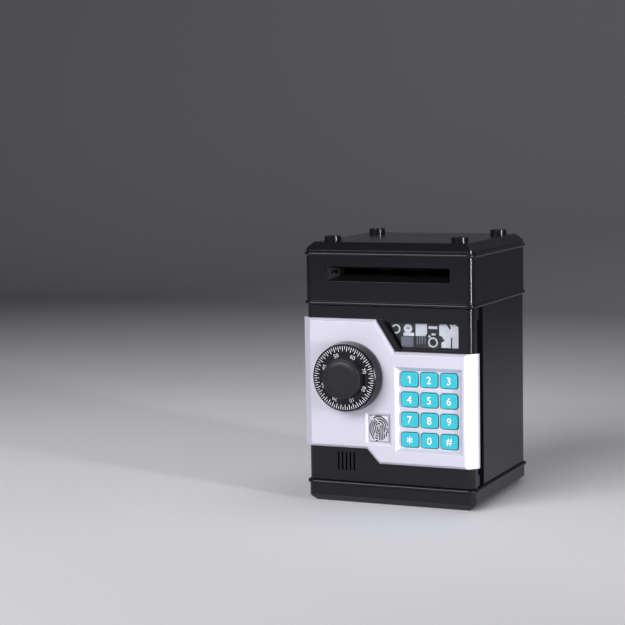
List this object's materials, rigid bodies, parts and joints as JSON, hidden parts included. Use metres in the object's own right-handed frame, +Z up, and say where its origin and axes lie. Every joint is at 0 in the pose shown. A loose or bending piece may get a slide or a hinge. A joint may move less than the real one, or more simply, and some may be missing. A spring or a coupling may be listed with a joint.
{
  "type": "toy cash machine savings bank",
  "caption": "Toy cash machine money box: note slot with feeder and coin slot over a locked vault with a keypad, combination dial and hinged door.",
  "frame": {"origin": "centre of the case's footprint, on the surface that it stands on", "axes": "+Z up, front with dial and keypad faces -Y, +X towards the door's hinge side"},
  "size_m": [0.1302, 0.1409, 0.1896],
  "materials": {
    "case_black": "semi-gloss moulded ABS",
    "inner_black": "matt moulded ABS",
    "silver_paint": "satin silver painted ABS",
    "key_teal": "satin",
    "steel": "plain",
    "rubber": "matt",
    "natural_nylon": "satin",
    "board": "lacquered",
    "lens": "clear acrylic",
    "cell_jacket": "printed jacket",
    "brass": "plain"
  },
  "bodies": {
    "case": {"base_tray": "case_black", "battery_cover": "case_black", "batteries": "cell_jacket", "battery_contacts": "steel", "vault_housing": "case_black", "vault_floor": "inner_black", "rear_panel": "case_black", "hinge_pins": "steel", "head_housing": "case_black", "top_cover": "case_black", "top_studs": "case_black", "note_throat": "inner_black", "note_sensor": "lens", "feeder_frame": "natural_nylon", "feeder_top_guide": "natural_nylon", "feed_motor": "steel", "coin_chute": "inner_black", "main_board": "board", "board_parts": "inner_black", "case_screws": "steel", "rear_screws": "steel"},
    "door": {"door_shell": "case_black", "door_plate": "silver_paint", "window_lens": "lens", "mechanism_insert": "silver_paint", "keypad_mat": "rubber", "keypad_board": "board", "speaker": "inner_black", "door_back_cover": "inner_black", "lock_solenoid": "steel", "door_screws": "steel"},
    "dial": {"dial_ring": "case_black", "dial_knob": "case_black", "dial_shaft": "steel", "latch_pinion": "natural_nylon"},
    "bolt": {"latch_bolt": "steel"},
    "locking_pin": {"solenoid_pin": "steel"},
    "print_button": {"fingerprint_button": "silver_paint"},
    "drive_roller": {"drive_shaft": "steel", "feed_rollers": "rubber", "drive_gear": "natural_nylon"},
    "pressure_roller": {"pressure_shaft": "steel", "pressure_rollers": "natural_nylon"},
    "idler": {"idler_gear": "natural_nylon"},
    "motor_shaft": {"motor_pinion": "brass"},
    "button_1": {"key_1": "key_teal"},
    "button_2": {"key_2": "key_teal"},
    "button_3": {"key_3": "key_teal"},
    "button_4": {"key_4": "key_teal"},
    "button_5": {"key_5": "key_teal"},
    "button_6": {"key_6": "key_teal"},
    "button_7": {"key_7": "key_teal"},
    "button_8": {"key_8": "key_teal"},
    "button_9": {"key_9": "key_teal"},
    "button_star": {"key_star": "key_teal"},
    "button_0": {"key_0": "key_teal"},
    "button_hash": {"key_hash": "key_teal"}
  },
  "joints": [
    {"name": "door_hinge", "type": "hinge", "parent": "case", "child": "door", "pos_m": [0.0593, -0.0455, 0.0786], "axis": [0, 0, 1], "range_deg": [0, 105]},
    {"name": "dial_turn", "type": "hinge", "parent": "door", "child": "dial", "pos_m": [-0.0273, -0.063, 0.0922], "axis": [0, -1, 0], "range_deg": [0, 70]},
    {"name": "bolt_slide", "type": "slide", "parent": "door", "child": "bolt", "axis": [-1, 0, 0], "range_m": [0, 0.0066]},
    {"name": "locking_pin_slide", "type": "slide", "parent": "door", "child": "locking_pin", "axis": [0, 0, 1], "range_m": [0, 0.0029], "stiffness_N_per_m": 60},
    {"name": "print_button_press", "type": "slide", "parent": "door", "child": "print_button", "axis": [0, 1, 0], "range_m": [0, 0.0008], "stiffness_N_per_m": 400},
    {"name": "drive_roller_spin", "type": "hinge", "parent": "case", "child": "drive_roller", "pos_m": [0, -0.024, 0.1568], "axis": [1, 0, 0], "continuous": true},
    {"name": "pressure_roller_spin", "type": "hinge", "parent": "case", "child": "pressure_roller", "pos_m": [0, -0.024, 0.1685], "axis": [1, 0, 0], "continuous": true},
    {"name": "idler_spin", "type": "hinge", "parent": "case", "child": "idler", "pos_m": [0.052, -0.03451, 0.16478], "axis": [1, 0, 0], "continuous": true},
    {"name": "motor_spin", "type": "hinge", "parent": "case", "child": "motor_shaft", "pos_m": [0.05, -0.0385, 0.1522], "axis": [1, 0, 0], "continuous": true},
    {"name": "button_1_press", "type": "slide", "parent": "door", "child": "button_1", "axis": [0, 1, 0], "range_m": [0, 0.0012], "stiffness_N_per_m": 400},
    {"name": "button_2_press", "type": "slide", "parent": "door", "child": "button_2", "axis": [0, 1, 0], "range_m": [0, 0.0012], "stiffness_N_per_m": 400},
    {"name": "button_3_press", "type": "slide", "parent": "door", "child": "button_3", "axis": [0, 1, 0], "range_m": [0, 0.0012], "stiffness_N_per_m": 400},
    {"name": "button_4_press", "type": "slide", "parent": "door", "child": "button_4", "axis": [0, 1, 0], "range_m": [0, 0.0012], "stiffness_N_per_m": 400},
    {"name": "button_5_press", "type": "slide", "parent": "door", "child": "button_5", "axis": [0, 1, 0], "range_m": [0, 0.0012], "stiffness_N_per_m": 400},
    {"name": "button_6_press", "type": "slide", "parent": "door", "child": "button_6", "axis": [0, 1, 0], "range_m": [0, 0.0012], "stiffness_N_per_m": 400},
    {"name": "button_7_press", "type": "slide", "parent": "door", "child": "button_7", "axis": [0, 1, 0], "range_m": [0, 0.0012], "stiffness_N_per_m": 400},
    {"name": "button_8_press", "type": "slide", "parent": "door", "child": "button_8", "axis": [0, 1, 0], "range_m": [0, 0.0012], "stiffness_N_per_m": 400},
    {"name": "button_9_press", "type": "slide", "parent": "door", "child": "button_9", "axis": [0, 1, 0], "range_m": [0, 0.0012], "stiffness_N_per_m": 400},
    {"name": "button_star_press", "type": "slide", "parent": "door", "child": "button_star", "axis": [0, 1, 0], "range_m": [0, 0.0012], "stiffness_N_per_m": 400},
    {"name": "button_0_press", "type": "slide", "parent": "door", "child": "button_0", "axis": [0, 1, 0], "range_m": [0, 0.0012], "stiffness_N_per_m": 400},
    {"name": "button_hash_press", "type": "slide", "parent": "door", "child": "button_hash", "axis": [0, 1, 0], "range_m": [0, 0.0012], "stiffness_N_per_m": 400}
  ],
  "couplings": [
    {"joint": "dial_turn", "follows": "bolt_slide", "rad_per_m": 185.19},
    {"joint": "idler_spin", "follows": "drive_roller_spin", "ratio": -2.6667},
    {"joint": "motor_spin", "follows": "drive_roller_spin", "ratio": 7.1111}
  ]
}
